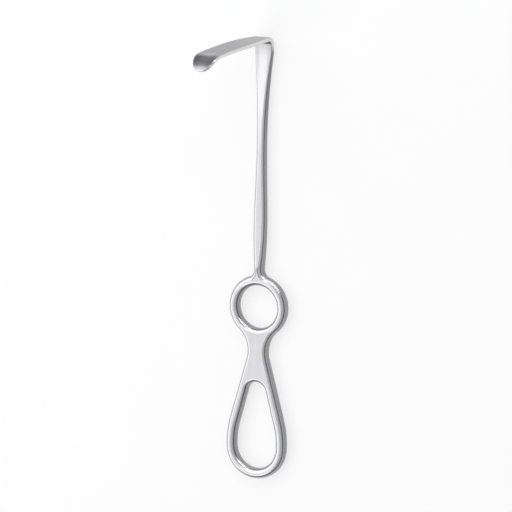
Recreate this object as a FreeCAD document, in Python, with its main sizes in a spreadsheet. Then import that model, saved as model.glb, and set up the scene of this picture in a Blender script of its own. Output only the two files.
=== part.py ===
import FreeCAD, Part
import math
import os

import Sketcher

# Handheld surgical retractor, forged in one piece of stainless steel.
# Handle of a finger ring and a long finger loop, tapering shaft, bent blade with a turned-down lip.
# It lies on its back: X across the handle, Y from the loop to the heel of the bend, Z up the blade.
# Lengths are in millimetres and angles in degrees.
SIZES = [
    ("overall_length", 220.0, "end of the finger loop to the heel of the bend"),
    ("blade_reach", 70.0, "back of the instrument to the front of the lip"),
    ("handle_thickness", 6.2, "finger loop, neck and finger ring"),
    ("handle_edge_radius", 2.0, "rounding of the handle's edges"),
    ("loop_width", 32.2, "finger loop at its widest"),
    ("loop_widest_height", 17.5, "height of the loop's widest place"),
    ("loop_side_radius", 43.0, "curve of the loop's outer side"),
    ("loop_hole_width", 22.4, "hole of the loop at its widest"),
    ("loop_hole_base", 5.0, "band under the loop's hole"),
    ("loop_hole_height", 43.5, "length of the loop's hole"),
    ("loop_hole_side_radius", 38.0, "curve of the hole's side"),
    ("loop_hole_tip_radius", 5.5, "upper end of the loop's hole"),
    ("neck_width", 10.4, "solid neck at its narrowest"),
    ("neck_radius", 14.0, "hollow of the neck's side"),
    ("ring_outer_radius", 15.6, "finger ring outside"),
    ("ring_hole_radius", 10.7, "finger ring inside"),
    ("ring_centre_height", 86.0, "end of the loop to the ring's centre"),
    ("shoulder_radius", 4.0, "hollow between the ring and the shaft"),
    ("shoulder_length", 4.5, "ring's outside to the start of the shaft"),
    ("root_width", 4.5, "shaft where it leaves the ring"),
    ("grip_width", 6.3, "shaft's lower swelling"),
    ("grip_thickness", 5.2, ""),
    ("middle_width", 5.8, "middle of the shaft"),
    ("middle_thickness", 4.9, ""),
    ("waist_width", 4.7, "shaft at its narrowest"),
    ("waist_thickness", 4.8, ""),
    ("flare_width", 6.1, "where the shaft starts to spread"),
    ("flare_thickness", 4.2, ""),
    ("shaft_edge_radius", 1.5, "rounding of the shaft's edges"),
    ("flare_edge_radius", 1.1, "rounding where the shaft spreads"),
    ("heel_width", 9.2, "shaft and blade at the bend"),
    ("heel_thickness", 2.9, "shaft at the bend"),
    ("heel_run", 3.0, "straight stretch before the bend"),
    ("bend_outer_radius", 5.0, "heel of the bend"),
    ("bend_inner_radius", 2.0, "throat of the bend"),
    ("blade_root_thickness", 2.3, "blade above the bend"),
    ("blade_width", 13.2, "blade at its widest"),
    ("blade_spread_height", 6.5, "where the blade starts to spread above the bend"),
    ("blade_widest_height", 27.0, "where the blade reaches its full width"),
    ("blade_hollow_radius", 25.0, "hollow of the blade's side above the bend"),
    ("blade_tip_thickness", 1.7, ""),
    ("blade_edge_radius", 0.6, "rounding of the blade's edges"),
    ("bow_radius", 570.0, "gentle bow of the blade"),
    ("bow_height", 13.0, "height of the bow's crown"),
    ("lip_radius", 13.0, "outside of the turned-down lip"),
    ("lip_angle", 64.0, "turn of the lip"),
    ("tongue_radius", 5.2, "rounded end of the lip"),
]
dim = {name: value for name, value, note in SIZES}

# Heights of the shaft's sections, as shares of the shaft's length, and the lift of their backs
GRIP_AT, GRIP_LIFT = 0.12, 0.3
MIDDLE_AT, MIDDLE_LIFT = 0.36, 0.25
WAIST_AT, WAIST_LIFT = 0.60, 0.15
FLARE_AT, FLARE_LIFT = 0.82, 0.05

LIP_SPARE = 1.2  # blank left on the lip before its end is rounded
WALL_SHARE = 0.45  # most of a wall that the rounding of one edge takes
TOUCH = 0.001  # closer than this is in place
TRIM = 2.0  # how far a trimming outline stands outside the metal

# Places that follow from the sizes, as the sheet works them out
SHAFT_START = "sizes.ring_centre_height + sizes.ring_outer_radius + sizes.shoulder_length"
SHAFT_END = "sizes.overall_length - sizes.bend_outer_radius - sizes.heel_run"
LIP_START = "sizes.blade_reach - sizes.lip_radius * sin(sizes.lip_angle * 1deg)"
HOLE_TIP = "sizes.loop_hole_base + sizes.loop_hole_height - sizes.loop_hole_tip_radius"
NECK_ACROSS = "(sizes.neck_radius + sizes.neck_width / 2)"
NECK_RISE = f"sqrt((sizes.ring_outer_radius + sizes.neck_radius) ^ 2 - {NECK_ACROSS} ^ 2)"
NECK_ALONG = f"(sizes.ring_centre_height - {NECK_RISE} - ({HOLE_TIP}))"

# The metal between the neck's side and the loop's hole, and the rounding that it has room for
NECK_WALL = f"(hypot({NECK_ACROSS}; {NECK_ALONG}) - sizes.neck_radius - sizes.loop_hole_tip_radius)"
HANDLE_EDGE = f"min(sizes.handle_edge_radius; {WALL_SHARE} * {NECK_WALL})"

doc = FreeCAD.newDocument("retractor")
sheet = doc.addObject("Spreadsheet::Sheet", "sizes")
for row, (name, value, note) in enumerate(SIZES, start=1):
    sheet.set(f"A{row}", name)
    sheet.set(f"B{row}", str(value))
    sheet.set(f"C{row}", note)
    sheet.setAlias(f"B{row}", name)
doc.recompute()

START, END, CENTRE = range(1, 4)
H_AXIS, V_AXIS = -1, -2
ORIGIN = (H_AXIS, START)


def point(x, y):
    return FreeCAD.Vector(x, y, 0)


def plane_of(body, role):
    """The origin plane of a body that has the given role."""
    return next(item for item in body.Origin.OriginFeatures if item.Role == role)


def new_body(name):
    return doc.addObject("PartDesign::Body", name)


def new_sketch(body, name, role):
    sketch = body.newObject("Sketcher::SketchObject", name)
    sketch.AttachmentSupport = (plane_of(body, role), [""])
    sketch.MapMode = "FlatFace"
    return sketch


def chain_up(sketch, joints):
    """Joins items end to end: each joint is a kind, an item and its end, the next item and its end."""
    for kind, item, place, following, following_place in joints:
        fix(sketch, kind, item, place, following, following_place)


def line(sketch, start, end):
    return sketch.addGeometry(Part.LineSegment(point(*start), point(*end)), False)


def sketch_guide(sketch, start, end):
    """A level construction line."""
    guide = sketch.addGeometry(Part.LineSegment(point(*start), point(*end)), True)
    sketch.addConstraint(Sketcher.Constraint("Horizontal", guide))
    return guide


def arc(sketch, centre, radius, first_degrees, last_degrees):
    """An arc that runs anticlockwise from the first angle to the last."""
    circle = Part.Circle(point(*centre), FreeCAD.Vector(0, 0, 1), radius)
    turn = Part.ArcOfCircle(circle, math.radians(first_degrees), math.radians(last_degrees))
    return sketch.addGeometry(turn, False)


def circle(sketch, centre, radius):
    round_line = Part.Circle(point(*centre), FreeCAD.Vector(0, 0, 1), radius)
    return sketch.addGeometry(round_line, False)


def fix(sketch, kind, *where):
    return sketch.addConstraint(Sketcher.Constraint(kind, *where))


def drive(sketch, name, expression, value, kind, *where):
    """A dimension of the sketch that follows the sheet."""
    index = fix(sketch, kind, *where, value)
    sketch.renameConstraint(index, name)
    sketch.setExpression(f"Constraints.{name}", expression)


def across_from_axis(sketch, hand):
    """A function that drives how far a place lies from the middle line, on the given hand."""

    def across(name, expression, value, item, place, side_of_hand):
        to_right = side_of_hand == (1 if hand == "right" else -1)
        ends = (*ORIGIN, item, place) if to_right else (item, place, *ORIGIN)
        drive(sketch, f"{name}_{hand}", expression, value, "DistanceX", *ends)

    return across


def crossed_tangent(low, low_radius, high, high_radius):
    """Angle of the normal of the line that has one circle on each side, in degrees."""
    across, along = high[0] - low[0], high[1] - low[1]
    apart = math.hypot(across, along)
    turn = math.acos((low_radius + high_radius) / apart)
    return math.degrees(math.atan2(along, across) - turn)


def outer_tangent(low, low_radius, high, high_radius):
    """Angle of the normal of the line that has both circles on one side, in degrees."""
    across, along = high[0] - low[0], high[1] - low[1]
    apart = math.hypot(across, along)
    turn = math.acos((low_radius - high_radius) / apart)
    return math.degrees(math.atan2(along, across) - turn)


def on_circle(centre, radius, degrees):
    angle = math.radians(degrees)
    return (centre[0] + radius * math.cos(angle), centre[1] + radius * math.sin(angle))


def angle_of(start, end):
    """Direction from one point to another, in degrees."""
    return math.degrees(math.atan2(end[1] - start[1], end[0] - start[0]))


def mirrored(position):
    return (-position[0], position[1])


def arc_centre(low, low_radius, high, high_radius, radius):
    """Centre of the arc that holds both circles and touches them, behind the line that joins them."""
    low_reach, high_reach = radius - low_radius, radius - high_radius
    across, along = high[0] - low[0], high[1] - low[1]
    apart = math.hypot(across, along)
    share = (low_reach**2 - high_reach**2 + apart**2) / (2 * apart**2)
    behind = math.sqrt(low_reach**2 - (share * apart) ** 2) / apart
    return (low[0] + share * across - behind * along, low[1] + share * along + behind * across)


def base_radius(half_width, widest, side_radius):
    """Radius of the end arc that touches the end line and, from inside, the side arc."""
    offset = side_radius - half_width
    return (side_radius**2 - offset**2 - widest**2) / (2 * (side_radius - widest))


# Handle
handle = new_body("handle")
outline = new_sketch(handle, "handle_outline", "XY_Plane")

half_loop = dim["loop_width"] / 2
side_radius = dim["loop_side_radius"]
side_centre = (half_loop - side_radius, dim["loop_widest_height"])
end_radius = base_radius(half_loop, dim["loop_widest_height"], side_radius)
end_centre = (0.0, end_radius)
ring_centre = (0.0, dim["ring_centre_height"])
ring_radius = dim["ring_outer_radius"]
neck_radius = dim["neck_radius"]
neck_x = dim["neck_width"] / 2 + neck_radius
neck_y = ring_centre[1] - math.sqrt((ring_radius + neck_radius) ** 2 - neck_x**2)
neck_centre = (neck_x, neck_y)
half_root = dim["root_width"] / 2
shoulder_radius = dim["shoulder_radius"]
shoulder_x = half_root + shoulder_radius
shoulder_y = ring_centre[1] + math.sqrt((ring_radius + shoulder_radius) ** 2 - shoulder_x**2)
shoulder_centre = (shoulder_x, shoulder_y)
shaft_start = ring_centre[1] + ring_radius + dim["shoulder_length"]

end_turn = angle_of(side_centre, end_centre)
taper = crossed_tangent(side_centre, side_radius, neck_centre, neck_radius)
neck_turn = angle_of(ring_centre, neck_centre)
shoulder_turn = angle_of(ring_centre, shoulder_centre)
side_end = on_circle(side_centre, side_radius, taper)
neck_start = on_circle(neck_centre, neck_radius, 180 + taper)

loop_end = arc(outline, end_centre, end_radius, 180 - end_turn, 360 + end_turn)
side = arc(outline, side_centre, side_radius, end_turn, taper)
flank = line(outline, side_end, neck_start)
neck = arc(outline, neck_centre, neck_radius, 180 + neck_turn, 180 + taper)
ring = arc(outline, ring_centre, ring_radius, neck_turn, shoulder_turn)
shoulder = arc(outline, shoulder_centre, shoulder_radius, 180, 180 + shoulder_turn)
stub = line(outline, (half_root, shoulder_y), (half_root, shaft_start))
stub_end = line(outline, (half_root, shaft_start), (-half_root, shaft_start))
left_stub = line(outline, (-half_root, shaft_start), (-half_root, shoulder_y))
left_shoulder = arc(outline, mirrored(shoulder_centre), shoulder_radius, -shoulder_turn, 0)
left_ring = arc(outline, ring_centre, ring_radius, 180 - shoulder_turn, 180 - neck_turn)
left_neck = arc(outline, mirrored(neck_centre), neck_radius, -taper, -neck_turn)
left_flank = line(outline, mirrored(neck_start), mirrored(side_end))
left_side = arc(outline, mirrored(side_centre), side_radius, 180 - taper, 180 - end_turn)

fix(outline, "Tangent", loop_end, END, side, START)
fix(outline, "Tangent", side, END, flank, START)
fix(outline, "Tangent", flank, END, neck, END)
fix(outline, "Tangent", neck, START, ring, START)
fix(outline, "Tangent", ring, END, shoulder, END)
fix(outline, "Tangent", shoulder, START, stub, START)
fix(outline, "Coincident", stub, END, stub_end, START)
fix(outline, "Coincident", stub_end, END, left_stub, START)
fix(outline, "Tangent", left_stub, END, left_shoulder, END)
fix(outline, "Tangent", left_shoulder, START, left_ring, START)
fix(outline, "Tangent", left_ring, END, left_neck, END)
fix(outline, "Tangent", left_neck, START, left_flank, START)
fix(outline, "Tangent", left_flank, END, left_side, START)
fix(outline, "Tangent", left_side, END, loop_end, START)
fix(outline, "Vertical", stub)
fix(outline, "Vertical", left_stub)
fix(outline, "Horizontal", stub_end)
fix(outline, "PointOnObject", ring, CENTRE, V_AXIS)
fix(outline, "Coincident", ring, CENTRE, left_ring, CENTRE)
drive(outline, "ring_height", "sizes.ring_centre_height", ring_centre[1], "DistanceY", *ORIGIN, ring, CENTRE)
drive(outline, "ring_radius", "sizes.ring_outer_radius", ring_radius, "Radius", ring)
fix(outline, "Tangent", loop_end, H_AXIS)
hands = (("right", side, neck, shoulder, stub), ("left", left_side, left_neck, left_shoulder, left_stub))
for hand, side_arc, neck_arc, shoulder_arc, stub_line in hands:
    across = across_from_axis(outline, hand)
    drive(outline, f"side_radius_{hand}", "sizes.loop_side_radius", side_radius, "Radius", side_arc)
    drive(outline, f"neck_radius_{hand}", "sizes.neck_radius", neck_radius, "Radius", neck_arc)
    drive(
        outline, f"shoulder_radius_{hand}", "sizes.shoulder_radius", shoulder_radius, "Radius", shoulder_arc
    )
    drive(
        outline, f"widest_{hand}", "sizes.loop_widest_height", side_centre[1],
        "DistanceY", *ORIGIN, side_arc, CENTRE,
    )
    across("side", "sizes.loop_side_radius - sizes.loop_width / 2", -side_centre[0], side_arc, CENTRE, -1)
    across("neck", "sizes.neck_radius + sizes.neck_width / 2", neck_centre[0], neck_arc, CENTRE, 1)
    across("root", "sizes.root_width / 2", half_root, stub_line, START, 1)
drive(outline, "shaft_start", SHAFT_START, shaft_start, "DistanceY", *ORIGIN, stub, END)

pad = handle.newObject("PartDesign::Pad", "handle_slab")
pad.Profile = outline
pad.setExpression("Length", "sizes.handle_thickness")

holes = new_sketch(handle, "handle_holes", "XY_Plane")
ring_hole = circle(holes, ring_centre, dim["ring_hole_radius"])
drive(holes, "hole_radius", "sizes.ring_hole_radius", dim["ring_hole_radius"], "Radius", ring_hole)
drive(
    holes, "hole_height", "sizes.ring_centre_height", ring_centre[1], "DistanceY", *ORIGIN, ring_hole, CENTRE
)
fix(holes, "PointOnObject", ring_hole, CENTRE, V_AXIS)

half_hole = dim["loop_hole_width"] / 2
hole_side_radius = dim["loop_hole_side_radius"]
hole_base = dim["loop_hole_base"]
hole_top = hole_base + dim["loop_hole_height"]
hole_side_centre = (half_hole - hole_side_radius, dim["loop_widest_height"])
hole_end_radius = base_radius(half_hole, dim["loop_widest_height"] - hole_base, hole_side_radius)
hole_end_centre = (0.0, hole_base + hole_end_radius)
tip_radius = dim["loop_hole_tip_radius"]
tip_centre = (0.0, hole_top - tip_radius)
hole_taper = outer_tangent(hole_side_centre, hole_side_radius, tip_centre, tip_radius)
hole_end_turn = angle_of(hole_side_centre, hole_end_centre)
hole_side_end = on_circle(hole_side_centre, hole_side_radius, hole_taper)
hole_tip_start = on_circle(tip_centre, tip_radius, hole_taper)

hole_end = arc(holes, hole_end_centre, hole_end_radius, 180 - hole_end_turn, 360 + hole_end_turn)
hole_side = arc(holes, hole_side_centre, hole_side_radius, hole_end_turn, hole_taper)
hole_flank = line(holes, hole_side_end, hole_tip_start)
hole_tip = arc(holes, tip_centre, tip_radius, hole_taper, 180 - hole_taper)
left_hole_flank = line(holes, mirrored(hole_tip_start), mirrored(hole_side_end))
left_hole_side = arc(
    holes, mirrored(hole_side_centre), hole_side_radius, 180 - hole_taper, 180 - hole_end_turn
)
chain = (hole_end, hole_side, hole_flank, hole_tip, left_hole_flank, left_hole_side)
for before, after in zip(chain, chain[1:] + chain[:1]):
    fix(holes, "Tangent", before, END, after, START)
fix(holes, "PointOnObject", hole_tip, CENTRE, V_AXIS)
drive(holes, "tip_radius", "sizes.loop_hole_tip_radius", tip_radius, "Radius", hole_tip)
drive(holes, "tip_height", HOLE_TIP, tip_centre[1], "DistanceY", *ORIGIN, hole_tip, CENTRE)
base_line = sketch_guide(holes, (-half_hole, hole_base), (half_hole, hole_base))
fix(holes, "Tangent", hole_end, base_line)
drive(holes, "hole_base", "sizes.loop_hole_base", hole_base, "DistanceY", *ORIGIN, base_line, START)
for hand, side_arc in (("right", hole_side), ("left", left_hole_side)):
    across = across_from_axis(holes, hand)
    drive(holes, f"side_radius_{hand}", "sizes.loop_hole_side_radius", hole_side_radius, "Radius", side_arc)
    drive(
        holes, f"widest_{hand}", "sizes.loop_widest_height", hole_side_centre[1],
        "DistanceY", *ORIGIN, side_arc, CENTRE,
    )
    across(
        "side", "sizes.loop_hole_side_radius - sizes.loop_hole_width / 2", -hole_side_centre[0],
        side_arc, CENTRE, -1,
    )

hole_cut = handle.newObject("PartDesign::Pocket", "hole_cut")
hole_cut.Profile = holes
hole_cut.Type = "ThroughAll"
hole_cut.Reversed = True
doc.recompute()


def edges_where(shape, wanted):
    """Names of the edges of a shape that pass a test."""
    return [f"Edge{i}" for i, edge in enumerate(shape.Edges, start=1) if wanted(edge)]


def on_handle_face(edge):
    """An edge of the handle's front or back, apart from the ends at the shaft."""
    box = edge.BoundBox
    flat = box.ZLength < TOUCH and min(abs(box.ZMin), abs(box.ZMin - dim["handle_thickness"])) < TOUCH
    return flat and box.YMin < shaft_start - TOUCH


rounding = handle.newObject("PartDesign::Fillet", "handle_edges")
rounding.Base = (hole_cut, edges_where(hole_cut.Shape, on_handle_face))
rounding.setExpression("Radius", HANDLE_EDGE)

# Blade
blade = new_body("blade")
length = dim["overall_length"]
heel_radius = dim["bend_outer_radius"]
throat_radius = dim["bend_inner_radius"]
lip_radius = dim["lip_radius"]
lip_angle = dim["lip_angle"]
tip_thickness = dim["blade_tip_thickness"]
root_thickness = dim["blade_root_thickness"]
heel_thickness = dim["heel_thickness"]
shaft_end = length - heel_radius - dim["heel_run"]
lip_start = dim["blade_reach"] - lip_radius * math.sin(math.radians(lip_angle))
lip_end_angle = lip_angle + math.degrees(LIP_SPARE / lip_radius)
inner_radius = lip_radius - tip_thickness
bow_radius = dim["bow_radius"]
bow_centre = (length - bow_radius, dim["bow_height"])


def inside_bow(radius, height):
    """Centre, at a height, of a circle that touches the bow from inside."""
    reach = math.sqrt((bow_radius - radius) ** 2 - (height - bow_centre[1]) ** 2)
    return (bow_centre[0] + reach, height)


heel_centre = inside_bow(heel_radius, heel_radius)
lip_centre = inside_bow(lip_radius, lip_start)
throat_centre = (length - root_thickness - throat_radius, heel_thickness + throat_radius)
inner_centre = arc_centre(throat_centre, throat_radius, lip_centre, inner_radius, bow_radius)
heel_turn = angle_of(bow_centre, heel_centre)
lip_turn = angle_of(bow_centre, lip_centre)
throat_turn = angle_of(inner_centre, throat_centre)
inner_turn = angle_of(inner_centre, lip_centre)

side_view = new_sketch(blade, "blade_side", "YZ_Plane")
back = line(side_view, (shaft_end, 0), (heel_centre[0], 0))
heel = arc(side_view, heel_centre, heel_radius, -90, heel_turn)
outer_face = arc(side_view, bow_centre, bow_radius, heel_turn, lip_turn)
lip_outside = arc(side_view, lip_centre, lip_radius, lip_turn, lip_end_angle)
lip_tip = line(
    side_view,
    on_circle(lip_centre, lip_radius, lip_end_angle),
    on_circle(lip_centre, inner_radius, lip_end_angle),
)
lip_inside = arc(side_view, lip_centre, inner_radius, inner_turn, lip_end_angle)
inner_face = arc(side_view, inner_centre, bow_radius, throat_turn, inner_turn)
throat = arc(side_view, throat_centre, throat_radius, -90, throat_turn)
front = line(side_view, (throat_centre[0], heel_thickness), (shaft_end, heel_thickness))
start_face = line(side_view, (shaft_end, heel_thickness), (shaft_end, 0))
chain_up(
    side_view,
    (
        ("Tangent", back, END, heel, START),
        ("Tangent", heel, END, outer_face, START),
        ("Tangent", outer_face, END, lip_outside, START),
        ("Coincident", lip_outside, END, lip_tip, START),
        ("Coincident", lip_tip, END, lip_inside, END),
        ("Tangent", lip_inside, START, inner_face, END),
        ("Tangent", inner_face, START, throat, END),
        ("Tangent", throat, START, front, START),
        ("Coincident", front, END, start_face, START),
        ("Coincident", start_face, END, back, START),
        ("Coincident", lip_inside, CENTRE, lip_outside, CENTRE),
    ),
)
for level in (back, front):
    fix(side_view, "Horizontal", level)
fix(side_view, "Vertical", start_face)
fix(side_view, "PointOnObject", back, START, H_AXIS)
crown = side_view.addGeometry(Part.LineSegment(point(length, 0), point(length, dim["bow_height"])), True)
fix(side_view, "Vertical", crown)
fix(side_view, "Tangent", outer_face, crown)
drive(side_view, "length", "sizes.overall_length", length, "DistanceX", *ORIGIN, crown, START)
drive(side_view, "bow_height", "sizes.bow_height", bow_centre[1], "DistanceY", *ORIGIN, outer_face, CENTRE)
drive(side_view, "bow_outside", "sizes.bow_radius", bow_radius, "Radius", outer_face)
drive(side_view, "bow_inside", "sizes.bow_radius", bow_radius, "Radius", inner_face)
drive(side_view, "heel_radius", "sizes.bend_outer_radius", heel_radius, "Radius", heel)
drive(side_view, "throat_radius", "sizes.bend_inner_radius", throat_radius, "Radius", throat)
drive(side_view, "lip_radius", "sizes.lip_radius", lip_radius, "Radius", lip_outside)
drive(
    side_view, "lip_inner", "sizes.lip_radius - sizes.blade_tip_thickness", inner_radius, "Radius", lip_inside
)
drive(side_view, "front_height", "sizes.heel_thickness", heel_thickness, "DistanceY", *ORIGIN, front, END)
drive(side_view, "reach", LIP_START, lip_start, "DistanceY", *ORIGIN, lip_outside, CENTRE)
drive(side_view, "start", SHAFT_END, shaft_end, "DistanceX", *ORIGIN, back, START)
drive(
    side_view, "inner_root", "sizes.overall_length - sizes.blade_root_thickness - sizes.bend_inner_radius",
    throat_centre[0], "DistanceX", *ORIGIN, throat, CENTRE,
)

strip = blade.newObject("PartDesign::Pad", "bent_strip")
strip.Profile = side_view
strip.Midplane = True
strip.setExpression("Length", f"sizes.blade_width + {2 * TRIM}")

half_heel = dim["heel_width"] / 2
half_blade = dim["blade_width"] / 2
hollow_radius = dim["blade_hollow_radius"]
narrow, widest = dim["blade_spread_height"], dim["blade_widest_height"]
spread, rise = half_blade - half_heel, widest - narrow
swell_radius = (spread**2 + rise**2) / (2 * spread) - hollow_radius
flank_turn = math.degrees(math.asin(rise / (hollow_radius + swell_radius)))
flanks = new_sketch(blade, "blade_flanks", "XZ_Plane")
flanks.AttachmentOffset = FreeCAD.Placement(FreeCAD.Vector(0, 0, -length - TRIM), FreeCAD.Rotation())
flanks.setExpression("AttachmentOffset.Base.z", f"-sizes.overall_length - {TRIM}")
for hand, sign in (("right", 1), ("left", -1)):
    across = across_from_axis(flanks, hand)
    edge_x = sign * (half_blade + 2 * TRIM)
    straight = line(flanks, (sign * half_heel, -TRIM), (sign * half_heel, narrow))
    hollow_centre = (sign * (half_heel + hollow_radius), narrow)
    swell_centre = (sign * (half_blade - swell_radius), widest)
    if sign > 0:
        hollow = arc(flanks, hollow_centre, hollow_radius, 180 - flank_turn, 180)
        swell = arc(flanks, swell_centre, swell_radius, -flank_turn, 0)
        ends = (END, START, START, END)
    else:
        hollow = arc(flanks, hollow_centre, hollow_radius, 0, flank_turn)
        swell = arc(flanks, swell_centre, swell_radius, 180, 180 + flank_turn)
        ends = (START, END, END, START)
    parallel = line(flanks, (sign * half_blade, widest), (sign * half_blade, lip_start + TRIM))
    top = line(flanks, (sign * half_blade, lip_start + TRIM), (edge_x, lip_start + TRIM))
    outside = line(flanks, (edge_x, lip_start + TRIM), (edge_x, -TRIM))
    bottom = line(flanks, (edge_x, -TRIM), (sign * half_heel, -TRIM))
    chain_up(
        flanks,
        (
            ("Tangent", straight, END, hollow, ends[0]),
            ("Tangent", hollow, ends[1], swell, ends[2]),
            ("Tangent", swell, ends[3], parallel, START),
            ("Coincident", parallel, END, top, START),
            ("Coincident", top, END, outside, START),
            ("Coincident", outside, END, bottom, START),
            ("Coincident", bottom, END, straight, START),
        ),
    )
    for level in (top, bottom):
        fix(flanks, "Horizontal", level)
    for upright in (straight, parallel, outside):
        fix(flanks, "Vertical", upright)
    across("heel", "sizes.heel_width / 2", half_heel, straight, START, 1)
    across("blade", "sizes.blade_width / 2", half_blade, top, START, 1)
    across("edge", f"sizes.blade_width / 2 + {2 * TRIM}", half_blade + 2 * TRIM, outside, START, 1)
    drive(flanks, f"hollow_{hand}", "sizes.blade_hollow_radius", hollow_radius, "Radius", hollow)
    drive(flanks, f"narrow_{hand}", "sizes.blade_spread_height", narrow, "DistanceY", *ORIGIN, straight, END)
    drive(
        flanks, f"widest_{hand}", "sizes.blade_widest_height", widest, "DistanceY", *ORIGIN, parallel, START
    )
    drive(flanks, f"high_{hand}", f"{LIP_START} + {TRIM}", lip_start + TRIM, "DistanceY", *ORIGIN, top, START)
    drive(flanks, f"under_{hand}", f"{TRIM}", TRIM, "DistanceY", bottom, START, *ORIGIN)

flank_cut = blade.newObject("PartDesign::Pocket", "flank_cut")
flank_cut.Profile = flanks
flank_cut.Reversed = True
flank_cut.setExpression("Length", f"sizes.bend_outer_radius + sizes.heel_run + {2 * TRIM}")

tongue = new_sketch(blade, "tongue_end", "XY_Plane")
lean = math.radians(lip_angle)
above = lip_radius + TRIM
tongue.AttachmentOffset = FreeCAD.Placement(
    FreeCAD.Vector(0, lip_centre[0] + above * math.cos(lean), lip_centre[1] + above * math.sin(lean)),
    FreeCAD.Rotation(FreeCAD.Vector(-1, 0, 0), 90 - lip_angle),
)
tongue_run = lip_radius * math.sin(lean)
tongue_radius = dim["tongue_radius"]
cheek_radius = (half_blade**2 - tongue_radius**2 + (tongue_run - tongue_radius) ** 2) / (
    2 * (half_blade - tongue_radius)
)
tongue_centre = (0.0, tongue_radius)
cheek_centre = (half_blade - cheek_radius, tongue_run)
cheek_turn = angle_of(cheek_centre, tongue_centre)
far = half_blade + 2 * TRIM
round_end = arc(tongue, tongue_centre, tongue_radius, 180 - cheek_turn, 360 + cheek_turn)
cheek = arc(tongue, cheek_centre, cheek_radius, cheek_turn, 0)
shelf = line(tongue, (half_blade, tongue_run), (far, tongue_run))
down = line(tongue, (far, tongue_run), (far, -2 * TRIM))
below = line(tongue, (far, -2 * TRIM), (-far, -2 * TRIM))
up = line(tongue, (-far, -2 * TRIM), (-far, tongue_run))
left_shelf = line(tongue, (-far, tongue_run), (-half_blade, tongue_run))
left_cheek = arc(tongue, mirrored(cheek_centre), cheek_radius, 180, 180 - cheek_turn)
chain_up(
    tongue,
    (
        ("Tangent", round_end, END, cheek, START),
        ("Coincident", cheek, END, shelf, START),
        ("Coincident", shelf, END, down, START),
        ("Coincident", down, END, below, START),
        ("Coincident", below, END, up, START),
        ("Coincident", up, END, left_shelf, START),
        ("Coincident", left_shelf, END, left_cheek, START),
        ("Tangent", left_cheek, END, round_end, START),
    ),
)
drive(tongue, "tongue_radius", "sizes.tongue_radius", tongue_radius, "Radius", round_end)
drive(
    tongue, "tongue_run", "sizes.lip_radius * sin(sizes.lip_angle * 1deg)", tongue_run,
    "DistanceY", *ORIGIN, cheek, END,
)
drive(tongue, "half_right", "sizes.blade_width / 2", half_blade, "DistanceX", *ORIGIN, cheek, END)
drive(tongue, "half_left", "sizes.blade_width / 2", half_blade, "DistanceX", left_cheek, START, *ORIGIN)
fix(tongue, "Horizontal", cheek, CENTRE, cheek, END)
fix(tongue, "Horizontal", left_cheek, CENTRE, left_cheek, START)
fix(tongue, "Horizontal", shelf)
fix(tongue, "Horizontal", left_shelf)
fix(tongue, "PointOnObject", round_end, CENTRE, V_AXIS)
fix(tongue, "Tangent", round_end, H_AXIS)

tongue_cut = blade.newObject("PartDesign::Pocket", "tongue_cut")
tongue_cut.Profile = tongue
tongue_cut.setExpression("Length", f"2 * sizes.lip_radius + {TRIM}")
doc.recompute()


def is_skin(face):
    """A face that follows the side view, so that it never faces sideways."""
    low_u, high_u, low_v, high_v = face.ParameterRange
    spots = ((0.2, 0.3), (0.5, 0.5), (0.8, 0.7), (0.1, 0.9))
    turns = (
        face.normalAt(low_u + (high_u - low_u) * a, low_v + (high_v - low_v) * b).x for a, b in spots
    )
    return all(abs(turn) < TOUCH for turn in turns)


def on_blade_rim(edge):
    """An edge between the blade's faces and its side walls, apart from the joint with the shaft."""
    if edge.BoundBox.YMax < shaft_end + TOUCH:
        return False
    faces = tongue_cut.Shape.ancestorsOfType(edge, Part.Face)
    return len([face for face in faces if is_skin(face)]) == 1


blade_rim = blade.newObject("PartDesign::Fillet", "blade_edges")
blade_rim.Base = (tongue_cut, edges_where(tongue_cut.Shape, on_blade_rim))
blade_rim.setExpression("Radius", "sizes.blade_edge_radius")

# Shaft
shaft = new_body("shaft")


def rounded_bar(name, width, thickness, radius, share, lift):
    """Section of the shaft: a rounded rectangle at a share of the shaft's length, lifted off the floor."""
    half, high, turn = dim[width] / 2, dim[thickness], dim[radius]
    place = shaft_start + share * (shaft_end - shaft_start)
    sketch = new_sketch(shaft, name, "XZ_Plane")
    sketch.AttachmentOffset = FreeCAD.Placement(FreeCAD.Vector(0, lift, -place), FreeCAD.Rotation())
    along_shaft = f"({SHAFT_START}) * {1 - share} + ({SHAFT_END}) * {share}"
    sketch.setExpression("AttachmentOffset.Base.z", f"-({along_shaft})")
    low = line(sketch, (turn - half, 0), (half - turn, 0))
    low_right = arc(sketch, (half - turn, turn), turn, -90, 0)
    right = line(sketch, (half, turn), (half, high - turn))
    high_right = arc(sketch, (half - turn, high - turn), turn, 0, 90)
    upper = line(sketch, (half - turn, high), (turn - half, high))
    high_left = arc(sketch, (turn - half, high - turn), turn, 90, 180)
    left = line(sketch, (-half, high - turn), (-half, turn))
    low_left = arc(sketch, (turn - half, turn), turn, 180, 270)
    items = (low, low_right, right, high_right, upper, high_left, left, low_left)
    for before, after in zip(items, items[1:] + items[:1]):
        fix(sketch, "Tangent", before, END, after, START)
    for level in (low, upper):
        fix(sketch, "Horizontal", level)
    for upright in (right, left):
        fix(sketch, "Vertical", upright)
    for corner_arc in (high_right, high_left, low_left):
        fix(sketch, "Equal", low_right, corner_arc)
    fix(sketch, "PointOnObject", low, START, H_AXIS)
    drive(sketch, "radius", f"sizes.{radius}", turn, "Radius", low_right)
    drive(sketch, "thickness", f"sizes.{thickness}", high, "DistanceY", low, START, upper, START)
    drive(sketch, "half_right", f"sizes.{width} / 2", half, "DistanceX", *ORIGIN, right, START)
    drive(sketch, "half_left", f"sizes.{width} / 2", half, "DistanceX", left, START, *ORIGIN)
    return sketch


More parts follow.
